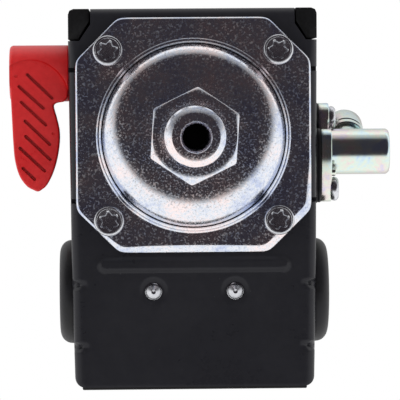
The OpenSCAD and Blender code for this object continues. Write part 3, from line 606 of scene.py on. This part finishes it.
def chassis():
    """The folded sheet: a grid over its outer faces, thickened inwards and pierced."""
    low, high = mm_box("chassis")
    half, top, base = high[0], high[2], BASE_Z
    front, rear = low[1], high[1]
    side_from = -20.8
    # across the section: up the left wall, round the bend, over the base and up the right wall
    fine = sorted(set(np.round(np.concatenate([
        np.linspace(-24.5, -22.4, 7), np.linspace(-22.4, -18, 12), np.linspace(-18, -12.5, 5),
        np.linspace(-12.5, -5.5, 22), np.linspace(-5.5, 5.5, 8), np.linspace(5.5, 12.5, 22),
        np.linspace(12.5, 18, 5), np.linspace(18, 22.4, 12), np.linspace(22.4, 24.5, 7)]), 3)))
    # each item: x, z, the outward normal's x and z, and the way round the bend from its middle (None on the base)
    section = [(-half, z, -1.0, 0.0, -9.0) for z in (top, 40, 35, 30, 26, 24, 23, 22, 21.2)]
    section += [(-half + BEND_R - BEND_R * math.cos(a), base + BEND_R - BEND_R * math.sin(a),
                 -math.cos(a), -math.sin(a), -BEND_R * (math.pi / 4 - a)) for a in arc(0, 90, 11)][:-1]
    section += [(x, base, 0.0, -1.0, None) for x in fine]
    section += [(half - BEND_R + BEND_R * math.cos(a), base + BEND_R - BEND_R * math.sin(a),
                 math.cos(a), -math.sin(a), -BEND_R * (math.pi / 4 - a)) for a in arc(90, 0, 11)][1:]
    section += [(half, z, 1.0, 0.0, -9.0) for z in (21.2, 22, 23, 24, 26, 30, 35, 40, top)]
    rows = sorted(set(np.round(np.concatenate([
        np.linspace(side_from, 20, 12), np.linspace(20, 26, 4), np.linspace(26, 31.4, 20),
        np.linspace(31.4, 37.6, 24), np.linspace(37.6, 44.6, 6), np.linspace(44.6, 49, 18),
        np.linspace(49, rear, 9)]), 3)))

    def place(item, y):
        """The sheet's outer face, with the dents at its bends, dimples at the screws and its slight taper."""
        x, z, nx, nz, s = item
        h = 0.0
        if s is None:
            # a long rib across the base, and a dimple round each block screw
            d = math.hypot(max(0.0, abs(x) - 19.6), y - 28.45)
            h += 0.9 * float(smooth_step((1.95 - d) / 1.25))
            for cx in (-BLOCK_SCREW_X, BLOCK_SCREW_X):
                d = math.hypot(x - cx, y - BLOCK_SCREW_Y)
                h -= 0.55 * float(smooth_step((3.4 - d) / 1.3))
            s = BEND_R * math.pi / 4 + (half - BEND_R - abs(x))
        # the dents that stiffen the bends
        for cy in (32.9, 46.6):
            across = max(0.0, 1 - abs(s) / 3.1)
            h -= 1.35 * across * max(0.0, 1 - abs(y - cy) / 1.15)
        # rounded rear corners
        end = rear
        if abs(x) > 24.8:
            end = rear - 2.2 * (1 - math.sqrt(max(0.0, 1 - ((abs(x) - 24.8) / 2.2) ** 2)))
        if y > 50:
            y = 50 + (y - 50) * (end - 50) / (rear - 50)
        pull = 1 + 0.0148 * (21 - y) / 46 if y < 21 else 1 - 0.0204 * ((y - 21) / 31) ** 1.3
        return ((x + nx * h) * pull, y, z + nz * h)

    build = Build()
    bm = build.bm
    grid = [[bm.verts.new(place(item, y)) for item in section] for y in rows]
    for r in range(len(rows) - 1):
        for c in range(len(section) - 1):
            bm.faces.new((grid[r][c], grid[r + 1][c], grid[r + 1][c + 1], grid[r][c + 1]))
    # the base's front part, narrowed by the corner notches, then the front bend and wall
    flat = [i for i, item in enumerate(section) if item[4] is None and abs(item[0]) <= NOTCH_X + 0.01]
    xs = [section[i][0] for i in flat]
    previous = [grid[0][i] for i in flat]
    steps = [(-22.6, base), (NOTCH_Y, base), (front + BEND_R, base)]
    steps += [(front + BEND_R - BEND_R * math.sin(a), base + BEND_R - BEND_R * math.cos(a)) for a in arc(10, 90, 9)]
    steps += [(front, 24), (front, 32), (front, 40), (front, top)]
    made = []
    for y, z in steps:
        current = [bm.verts.new((x, y, z)) for x in xs]
        for k in range(len(xs) - 1):
            bm.faces.new((current[k], previous[k], previous[k + 1], current[k + 1]))
        made.append(current)
        previous = current
    # the base runs out to the side walls behind each notch
    behind, notch = made[:2]
    for k, sign in ((0, -1), (-1, 1)):
        near = [j for j, item in enumerate(section) if item[4] is None and sign * item[0] >= NOTCH_X - 0.01]
        near.sort(key=lambda j: abs(section[j][0]))
        edge = [grid[0][j] for j in near]
        bm.faces.new((behind[k], notch[k], edge[-1]))
        for n in range(len(edge) - 1):
            bm.faces.new((behind[k], edge[n + 1], edge[n]))
    bmesh.ops.recalc_face_normals(bm, faces=bm.faces)
    if sum(f.normal.z for f in bm.faces if abs(f.normal.z) > 0.9) > 0:
        bmesh.ops.reverse_faces(bm, faces=bm.faces)
    ob = to_object(build, "chassis_shell", FINISH["black_paint"])
    solid = ob.modifiers.new("sheet", "SOLIDIFY")
    solid.thickness = SHEET * MM
    solid.offset = -1
    solid.use_even_offset = True
    edge = ob.modifiers.new("edges", "BEVEL")
    edge.limit_method = "ANGLE"
    edge.angle_limit = math.radians(60)
    edge.width = 0.18 * MM
    edge.segments = 2
    apply_all(ob)
    # holes for the cup, the grommets, the bend slots, the block screws, the lever's shaft and the valve's pin
    holes = Build()
    holes.rod(15.5, base - 3, base + 5, move=at(), sides=64)
    for s in (-1, 1):
        holes.rod(10.0, -3, 3, move=along_x(s * (half - 0.7), *GROMMET), sides=48)
        for y in (-RELIEF_Y, RELIEF_Y):
            holes.box((s * half - 1.3, y - 0.5, base - 1), (s * half + 1.3, y + 0.5, base + 4), bevel=0)
        holes.rod(1.98, base - 3, base + 5, move=at(s * BLOCK_SCREW_X, BLOCK_SCREW_Y, 0), sides=32)
    holes.rod(4.2, -3, 3, move=along_x(-half + 0.7, *SHAFT))
    holes.rod(1.4, -3, 3, move=along_x(half - 0.7, VALVE_Y, VALVE_Z))
    cut(ob, holes)
    finish_piece(ob, "housing", ["chassis"], sharp=30)


def cover():
    """The moulded cover, with a rear skirt, two corner posts and its screw's boss."""
    (x0, y0, _), (x1, y1, roof) = mm_box("cover")
    wall = mm_box("chassis")[1][2]

    def rounded(inset, r, z):
        return [(x, y, z) for x, y in round_rect(x0 + inset, x1 - inset, y0 + inset, y1 - inset, r, 8)]

    rings = [rounded(2.0, 1.5, wall), rounded(0.25, 2.8, wall), rounded(0.0, 3.0, wall + 0.25),
             rounded(0.0, 3.0, wall + 9), rounded(0.2, 3.0, roof - 3.2)]
    for a in arc(12, 90, 9):
        turn = 1 - math.cos(a)
        rings.append(rounded(0.2 + 3.0 * turn, 3.0 - 1.8 * turn, roof - 3.2 + 3.2 * math.sin(a)))
    rings.append(rounded(6.0, 1.0, roof))
    inner = [rounded(7.0, 1.0, roof - 2), rounded(4.0, 1.2, roof - 2), rounded(2.4, 1.4, roof - 3.0),
             rounded(2.0, 1.5, roof - 6)]
    build = Build()
    n = len(rings[0])
    whole = rings + inner
    # the roof joins across its outer and inner flats
    top = len(rings) - 1
    verts = [p for ring in whole for p in ring]
    faces = []
    for i in range(len(whole) - 1):
        if i == top:
            continue
        faces += [(i * n + k, i * n + (k + 1) % n, (i + 1) * n + (k + 1) % n, (i + 1) * n + k)
                  for k in range(n)]
    last = len(whole) - 1
    faces += [(last * n + k, last * n + (k + 1) % n, (k + 1) % n, k) for k in range(n)]
    faces += [tuple(top * n + k for k in range(n)), tuple((top + 1) * n + k for k in range(n))]
    build.shell(verts, faces)
    # rear skirt
    skirt = x1 - 2.2
    build.box((-skirt, y1 - 2.0, BASE_Z + 2.3), (skirt, y1, wall + 1.0), bevel=0.3)
    # corner posts in the chassis notches: an L of two walls each
    for s in (-1, 1):
        notch, side = x1 - 4.3, x1 + 0.3
        outline = [(s * notch, y0), (s * notch, y0 + 2.9), (s * (notch + 0.2), y0 + 3.1),
                   (s * (x1 - 2), y0 + 6.5), (s * (x1 - 2), y0 + 6.7), (s * side, y0 + 6.7),
                   (s * side, y0 + 1.2), (s * (side - 0.35), y0 + 0.35), (s * (side - 1.2), y0)]
        build.prism(outline, BASE_Z + 0.9, wall + 1.0, bevel=0.2)
        # locating rib inside the chassis wall
        ribs = sorted((s * 23.7, s * 25.3))
        build.box((ribs[0], -18, wall - 2.5), (ribs[1], 18, wall + 3), bevel=0.2)
    # the screw's boss, hole and sunk seat
    low, high = mm_box("range_stud")
    stud = at(0, (low[1] + high[1]) / 2, 0)
    hole = 2.3
    build.lathe([(hole, roof - 6.8), (4.6, roof - 6.8), (4.6, roof - 1.9), (hole, roof - 1.9)], move=stud)
    holes = Build()
    holes.rod(hole, roof - 4, roof + 2, move=stud)
    holes.rod(5.0, roof - 1.2, roof + 2, edge=0.0001, move=stud)
    piece(build, "cover_shell", "cover", "black_plastic", ["cover"], holes)


def grommets():
    """The two cable grommets: a domed flange outside the wall and a sleeve through it."""
    hole, out, corner = 4.5, 3.2, 3.0
    y, z = GROMMET
    for name, side, seat in (("grommet_left", -1, 26.6), ("grommet_right", 1, 26.9)):
        low, high = mm_box(name)
        r = (high[1] - low[1]) / 2
        profile = [(hole, -3.5), (hole, out - 1.0), (4.6, out - 0.55), (4.85, out - 0.28), (5.2, out - 0.2)]
        profile += [(5.6, out - 0.3), (6.0, out - 0.12), (6.6, out)]
        profile += [(r - corner + corner * math.sin(a), out - 2.9 + 2.9 * math.cos(a) ** 0.85)
                    for a in arc(4, 88, 14)]
        profile += [(r, 0.0), (r - 0.1, -0.28), (10.2, -0.3), (9.95, -0.3), (9.95, -1.5), (r - 0.6, -1.5),
                    (r - 0.6, -2.0), (r - 1.2, -3.5)]
        move = at(side * seat, y, z) @ Matrix.Rotation(math.radians(90 * side), 4, "Y")
        piece(Build().lathe(profile, 144, move), name + "_dome", "housing", "rubber", [name], sharp=50)


# ---- Shut-off lever ----


def lever():
    """The shut-off lever: a hub on the shaft and a grooved paddle towards the port side."""
    low, high = mm_box("shutoff_lever")
    x0, x1 = low[0], high[0]
    y, z = SHAFT
    r = 6.3  # the hub's
    build = Build()
    hub = [(3.02, 0.6), (3.02, x1 - x0), (r - 0.35, x1 - x0)]
    hub += [(r - 0.35 + 0.35 * math.cos(a), x1 - x0 - 0.35 + 0.35 * math.sin(a)) for a in arc(70, 0, 4)]
    hub += [(r - 0.9 + 0.9 * math.cos(a), 0.9 - 0.9 * math.sin(a)) for a in arc(0, 90, 7)]
    hub += [(0.01, 0.0), (0.01, 0.6)]
    build.lathe(hub, 96, along_x(x0, y, z))
    # the paddle's face lies below the hub's front, so a round step is left across the hub
    face = z - 5.2
    stepped = to_object(build, "lever_hub")
    step = Build()
    step.rod(8.6, face - 4, face + 0.1, edge=0.0001, sides=160, move=at(-35.9, -8.3, 0))
    cut(stepped, step)
    build = Build()
    build.bm.from_mesh(stepped.data)
    build.bm.transform(Matrix.Scale(1 / MM, 4))
    bpy.data.objects.remove(stepped)
    outline = [(-40.68, -16.65), (-40.6, -13.35), (-40.4, -9.35), (-40.15, -3.85), (-39.9, 1.65), (-39.55, 5.55),
               (-38.6, 8.95), (-37.0, 11.25), (-35.5, 12.15), (-34.5, 12.5), (-33.6, 12.05), (-32.5, 11.05),
               (-31.2, 8.55), (-30.2, 5.35), (-29.62, 1.75), (-29.62, -1.05), (-30.2, -3.85), (-30.8, -6.05),
               (-30.7, -6.85), (-29.9, -7.25), (-28.5, -7.55), (-27.6, -8.85), (-27.9, -11.45), (-29.9, -14.45),
               (-32.9, -16.45), (-36.5, -17.25), (-39.1, -17.15)]
    pts = [(max(px, x0), py) for px, py in curve_points(outline, 220)]
    build.prism(pts, face, face + 4.6, bevel=0.5, segments=4)
    ob = to_object(build, "lever_red", FINISH["red_plastic"])
    grooves = Build()
    groove_r = 0.36
    runs = [(-36.6, -13.5, -31.2, -8.3), (-38.5, -10.9, -33.1, -6.0), (-38.0, -7.4, -32.6, -2.3),
            (-37.2, -3.2, -31.8, 2.0), (-37.1, 0.2, -31.7, 5.4), (-38.4, 2.8, -33.0, 7.9), (-37.8, 7.3, -35.2, 9.8)]
    for ax, ay, bx, by in runs:
        dx, dy = bx - ax, by - ay
        length = math.hypot(dx, dy)
        nx, ny = -dy / length * groove_r, dx / length * groove_r
        ends = []
        for cx, cy, a0 in ((bx, by, math.atan2(-ny, -nx)), (ax, ay, math.atan2(ny, nx))):
            ends += [(cx + groove_r * math.cos(a0 + t), cy + groove_r * math.sin(a0 + t))
                     for t in np.linspace(0, math.pi, 7)]
        grooves.prism(ends, face - 0.5, face + 1.8, bevel=0)
    for cx, cy in ((-39.1, -13.2), (-30.9, -0.4)):
        grooves.rod(0.38, face - 0.5, face + 0.35, sides=20, move=at(cx, cy, 0))
    cut(ob, grooves)
    finish_piece(ob, "shutoff", ["shutoff_lever"], sharp=38)


# ---- Unloader valve ----

VALVE_Y, VALVE_Z = 4.2, 33.0
EAR = (-3.3, 37.2)  # y and z of the upper screw, in the flange's ear
LOW_SCREW = (12.4, 28.4)


def ear(r, n):
    return [(EAR[0] + r * math.cos(a), EAR[1] + r * math.sin(a)) for a in angles(n)]


def valve():
    """The valve on the right wall: gasket, flange with its barrel and branch, tube nut and screws."""
    wall_x, face_x = (corner[0] for corner in mm_box("valve_gasket"))
    out_x = face_x + 2.5
    end_x = mm_box("valve_body")[1][0]
    # an outline's X and Y and its height become Y, Z and X
    lay = Matrix(((0, 0, 1, 0), (1, 0, 0, 0), (0, 1, 0, 0), (0, 0, 0, 1)))
    # gasket of two layers, with its own ear
    build = Build()
    build.prism(round_rect(-1.25, 15.55, VALVE_Z - 8.2, VALVE_Z + 8.2, 3.2), wall_x + 0.02, face_x - 0.75,
                bevel=0.15, move=lay)
    build.prism(round_rect(-1.1, 15.4, VALVE_Z - 8.1, VALVE_Z + 8.1, 3.1), face_x - 0.7, face_x - 0.02,
                bevel=0.12, move=lay)
    build.prism(ear(3.5, 40), wall_x + 0.02, face_x - 0.02, bevel=0.15, move=lay)
    piece(build, "valve_gasket_sheet", "housing", "rubber", ["valve_gasket"])
    build = Build()
    # flange: past the barrel its lower edge curves away from the port side
    corners = round_rect(-1.0, 15.3, VALVE_Z - 8, VALVE_Z + 8, 3)
    plate = []
    for a, b in zip(corners, corners[1:] + corners[:1]):
        n = max(1, round(math.dist(a, b) / 0.8))
        for k in range(n):
            y, z = a[0] + (b[0] - a[0]) * k / n, a[1] + (b[1] - a[1]) * k / n
            past = max(0.0, y - VALVE_Y - 1)
            rise = 0.2 * past - 0.1 * (1 - math.exp(-2 * past)) + 0.006 * past ** 2
            plate.append((y, z + rise * max(0.0, VALVE_Z - z) / 8))
    build.prism(plate, face_x, out_x, bevel=0.3, segments=3, move=lay)
    build.prism(ear(3.4, 48), face_x, out_x - 0.05, bevel=0.25, segments=3, move=lay)
    build.box((face_x, -3.2, VALVE_Z + 0.6), (out_x - 0.35, 0, VALVE_Z + 7.4), bevel=0.25)
    length = end_x - out_x
    barrel = [(2.62, length), (2.62, 0.0), (0.01, 0.0), (0.01, -0.6), (5.1, -0.6), (5.1, 0.0),
              (5.1, length - 0.95), (5.05, length - 0.6), (4.85, length - 0.3), (4.6, length - 0.08),
              (4.3, length), (3.2, length), (2.9, length - 0.15)]
    build.lathe(barrel, 128, along_x(out_x, VALVE_Y, VALVE_Z))
    build.rod(0.9, -0.5, 0.9, edge=0.3, sides=32, move=along_x(out_x, 8.6, VALVE_Z - 6.2))
    branch = at(35.3, VALVE_Y, VALVE_Z) @ Matrix.Rotation(math.radians(20), 4, "X")
    build.lathe([(2.1, 3), (3.5, 3), (3.5, 10.3), (3.2, 10.6), (2.3, 10.6), (2.1, 10.4)], 64, branch)
    piece(build, "valve_casting", "housing", "yellow_zinc", ["valve_body"], sharp=40)
    # round compression nut with a turned groove
    nut = [(3.53, 7.95), (4.0, 7.95), (4.2, 8.15), (4.2, 9.6), (3.95, 9.8), (3.95, 10.2), (4.2, 10.4),
           (4.2, 15.6), (4.05, 16.1), (3.6, 16.65), (3.4, 16.78), (3.2, 16.7), (3.05, 16.5), (3.05, 12.3),
           (3.52, 12.28)]
    piece(Build().lathe(nut, 96, branch), "valve_nut", "housing", "yellow_zinc", ["tube_nut"], sharp=40)
    # pan-head screws with a cross recess
    build = Build()
    cross = Build()
    for k, (py, pz) in enumerate((EAR, LOW_SCREW)):
        head = [(0.01, -6.3), (1.45, -6.3), (1.45, -0.01), (2.5, -0.01)]
        head += [(2.7 - 0.2 * (1 - math.cos(a)) - 1.7 * (1 - math.cos(a)) * 0.45, 0.55 + 1.0 * math.sin(a))
                 for a in arc(0, 75, 8)]
        head += [(1.2, 1.59), (0.01, 1.6)]
        seat = along_x(out_x, py, pz)
        build.lathe(head, 64, seat)
        for turn in (0.4 + k, 0.4 + k + math.pi / 2):
            cross.box((-0.35, -1.5, 0.8), (0.35, 1.5, 2.2), bevel=0, move=seat @ Matrix.Rotation(turn, 4, "Z"))
    piece(build, "valve_fasteners", "housing", "steel", ["valve_screws"], cross, sharp=40)


# ---- Screw ends, springs and small pieces ----


def block_fasteners():
    """The two screws up through the base into the contact block, with their ends below the base."""
    low, high = mm_box("block_screws")
    build = Build()
    cross = Build()
    top = high[2]
    seat = top - 2.4
    root, crest = 1.74, 1.93
    for s in (-1, 1):
        place = at(s * BLOCK_SCREW_X, BLOCK_SCREW_Y, 0)
        shank = [(0.01, low[2] + 0.1), (0.5, low[2]), (1.5, low[2] + 0.75), (root, low[2] + 1.0)]
        z = low[2] + 1.15
        while z < seat - 1.2:
            shank += [(root, z), (crest, z + 0.12), (crest, z + 0.22), (root, z + 0.35)]
            z += 0.7
        shank += [(crest, seat), (3.5, seat), (3.6, seat + 0.4), (3.3, seat + 1.4), (2.4, top - 0.12),
                  (1.2, top - 0.02), (0.01, top)]
        build.lathe(shank, 64, place)
        for turn in (0.3, 0.3 + math.pi / 2):
            cross.box((-2.0, -0.4, top - 1.0), (2.0, 0.4, top + 1), bevel=0,
                      move=place @ Matrix.Rotation(turn + s, 4, "Z"))
    piece(build, "block_fasteners", "housing", "steel", ["block_screws"], cross, sharp=40)


def ground_screw():
    """The earth screw, its head inside the wall and its end just under the wall's outer face."""
    low, high = mm_box("ground_screw")
    y, z = (low[1] + high[1]) / 2, (low[2] + high[2]) / 2
    seat = -25.05
    head = high[0] - seat
    place = along_x(seat, y, z)
    profile = [(0.01, -1.3), (1.85, -1.3), (2.0, -1.15), (2.0, 0.0), (3.55, 0.0), (3.6, 0.15), (3.55, 0.5),
               (3.2, head - 0.5), (2.5, head - 0.1), (0.01, head)]
    slit = Build()
    slit.box((-0.45, -2.6, head - 0.9), (0.45, 2.6, head + 1), bevel=0, move=place)
    piece(Build().lathe(profile, 64, place), "earth_screw", "housing", "green_paint", ["ground_screw"], slit,
          sharp=40)


def coil(name, body, nodes, r, wire, span, turns, move, share=(0.0, 1.0)):
    """A compression spring whose end turns close up, or the given share of its length."""
    z0, z1 = span
    steps = int(turns * 36)
    closed, rise = 0.9 / turns, 0.02  # an end turn's share of the wire and of the height
    build = Build()
    rows = []
    for i in range(int(steps * share[0]), int(steps * share[1]) + 1):
        t = i / steps
        a = 2 * math.pi * turns * t
        if t < closed:
            u = rise * t / closed
        elif t > 1 - closed:
            u = 1 - rise * (1 - t) / closed
        else:
            u = rise + (t - closed) / (1 - 2 * closed) * (1 - 2 * rise)
        z = z0 + wire / 2 + (z1 - z0 - wire) * u
        rows.append([((r + wire / 2 * math.cos(b)) * math.cos(a), (r + wire / 2 * math.cos(b)) * math.sin(a),
                      z + wire / 2 * math.sin(b)) for b in angles(10)])
    build.loft(rows, move=move)
    piece(build, name, body, "spring_steel", nodes, sharp=60)


def springs():
    """The springs, each built once at its length in the CAD model; the parts at its ends are passed on, but it does
    not follow them.
    """
    low, high = mm_box("range_spring")
    x, y = (low[0] + high[0]) / 2, (low[1] + high[1]) / 2
    foot, middle, head = ((x, y, z) for z in (low[2], (low[2] + high[2]) / 2, high[2]))
    wire = 1.6
    size = ((high[0] - low[0]) / 2 - wire / 2, wire, (low[2], high[2]), 7, at(x, y, 0))
    coil("range_coil_foot", ("lever", "housing", foot, middle), ["range_spring"], *size, (0.0, 0.5))
    coil("range_coil_head", ("housing", "cap", middle, head), ["range_spring"], *size, (0.5, 1.0))
    low, high = mm_box("valve_spring")
    ends = [(x, VALVE_Y, VALVE_Z) for x in (low[0], high[0])]
    coil("valve_coil", ("bleed_pin", "housing", *ends), ["valve_spring"], r=1.6, wire=0.5,
         span=(low[0], high[0]), turns=5.5, move=along_x(0, VALVE_Y, VALVE_Z))
    low, high = mm_box("toggle_spring")
    x, y = -8, (low[1] + high[1]) / 2
    top = high[2] - 0.4  # room for the rocker's underside as it tilts
    ends = [(x, y, z) for z in (low[2], top)]
    coil("toggle_coil", ("lever", "housing", *ends), ["toggle_spring"], r=1.2, wire=0.45,
         span=(low[2], top), turns=7, move=at(x, y, 0))
    low, high = mm_box("contact_springs")
    for k, s in enumerate((-1, 1)):
        coil("contact_coil_%d" % (k + 1), "rocker", ["contact_springs"], r=1.85, wire=0.5,
             span=(low[1], high[1]), turns=5, move=along_y(s * 11, 0, (low[2] + high[2]) / 2))


# ---- CAD nodes that keep their own shape ----


def carried_over():
    """Soft edges and a procedural finish on the CAD nodes that stay visible."""
    slots = {s["node"]: s["material_slot"] for s in frame["record"]["subparts"]}
    for name, ob in frame["nodes"].items():
        ob.data.materials.clear()
        ob.data.materials.append(FINISH[slots[name]])
        edge = ob.modifiers.new("edges", "BEVEL")
        edge.limit_method = "ANGLE"
        edge.angle_limit = math.radians(40)
        edge.width = 0.12 * MM
        edge.segments = 2
        edge.use_clamp_overlap = True


# ---- Studio ----

CAMERA_AT = (-0.013, -0.01, -0.602)
CAMERA_TARGET = (0.00136, 0.01428, 0.018)
CAMERA_ROLL = math.radians(0.42)
# the tent's dark opening, an oval in the directions seen from the switch
OPENING_WIDTH, OPENING_HEIGHT, OPENING_DROP = 0.92, 0.68, 0.3
OPENING_COLOUR = (0.041, 0.034, 0.039)
TENT_STRENGTH = 1.15
FLOOR_Z = -1.6  # far below the switch, so that it stays out of the way of the camera below


def look_at(ob, place, target, up):
    """Puts a camera at a place, turned to the target."""
    place, target = Vector(place), Vector(target)
    forward = (target - place).normalized()
    side = forward.cross(Vector(up)).normalized()
    top = side.cross(forward)
    ob.matrix_world = Matrix.Translation(place) @ Matrix((side, top, -forward)).transposed().to_4x4()


def studio():
    """The camera below the port, the light tent and the pale floor."""
    data = bpy.data.cameras.new("camera")
    data.lens, data.sensor_width = 254.4, 36
    cam = bpy.data.objects.new("camera", data)
    SCENE.collection.objects.link(cam)
    look_at(cam, CAMERA_AT, CAMERA_TARGET, (math.sin(CAMERA_ROLL), -math.cos(CAMERA_ROLL), 0))
    SCENE.camera = cam
    # a soft light tent round the switch, greyer behind it, with one dark oval opening towards the port
    world = bpy.data.worlds.new("studio")
    SCENE.world = world
    world.use_nodes = True
    t = world.node_tree
    t.nodes.clear()
    out = t.nodes.new("ShaderNodeOutputWorld")
    split = t.nodes.new("ShaderNodeSeparateXYZ")
    link(t, t.nodes.new("ShaderNodeTexCoord").outputs["Generated"], split.inputs[0])
    wide = math_node(t, "DIVIDE", split.outputs["X"], OPENING_WIDTH)
    wide = math_node(t, "POWER", math_node(t, "ABSOLUTE", wide), 2.0)
    tall = math_node(t, "DIVIDE", math_node(t, "ADD", split.outputs["Y"], OPENING_DROP), OPENING_HEIGHT)
    tall = math_node(t, "POWER", math_node(t, "ABSOLUTE", tall), 2.0)
    oval = math_node(t, "SQRT", math_node(t, "ADD", wide, tall))
    walls = remap(t, oval, 0.9, 1.12, 0.0, 1.0)
    behind = remap(t, split.outputs["Z"], 0.0, 0.1, 0.0, 1.0)
    walls = math_node(t, "MAXIMUM", walls, behind)
    fade = remap(t, split.outputs["Z"], 0.35, 1.0, 1.0, 0.5)
    room = ramp(t, math_node(t, "MULTIPLY", walls, fade), [(0.0, OPENING_COLOUR), (1.0, (1, 1, 1))])
    lit = t.nodes.new("ShaderNodeBackground")
    link(t, room, lit.inputs["Color"])
    lit.inputs["Strength"].default_value = TENT_STRENGTH
    plain = t.nodes.new("ShaderNodeBackground")
    plain.inputs["Color"].default_value = (1, 1, 1, 1)
    plain.inputs["Strength"].default_value = 1.0
    path = t.nodes.new("ShaderNodeLightPath")
    mix = t.nodes.new("ShaderNodeMixShader")
    link(t, path.outputs["Is Camera Ray"], mix.inputs["Fac"])
    link(t, lit.outputs[0], mix.inputs[1])
    link(t, plain.outputs[0], mix.inputs[2])
    link(t, mix.outputs[0], out.inputs["Surface"])
    SCENE.view_settings.view_transform = "Standard"
    corners = [(x, y, FLOOR_Z) for x, y in ((-6, -6), (6, -6), (6, 6), (-6, 6))]
    mesh = bpy.data.meshes.new("floor")
    mesh.from_pydata(corners, [], [(0, 1, 2, 3)])
    floor = bpy.data.objects.new("floor", mesh)
    SCENE.collection.objects.link(floor)
    mesh.materials.append(material("pale_floor", [(0.3, grey(0.82)), (0.7, grey(0.86))], 0.7, 0.0, grain=40, patch=4))
    floor.visible_glossy = False


studio()
carried_over()
flange()
port()
six_lobe_screws()
chassis()
cover()
grommets()
lever()
valve()
block_fasteners()
ground_screw()
springs()
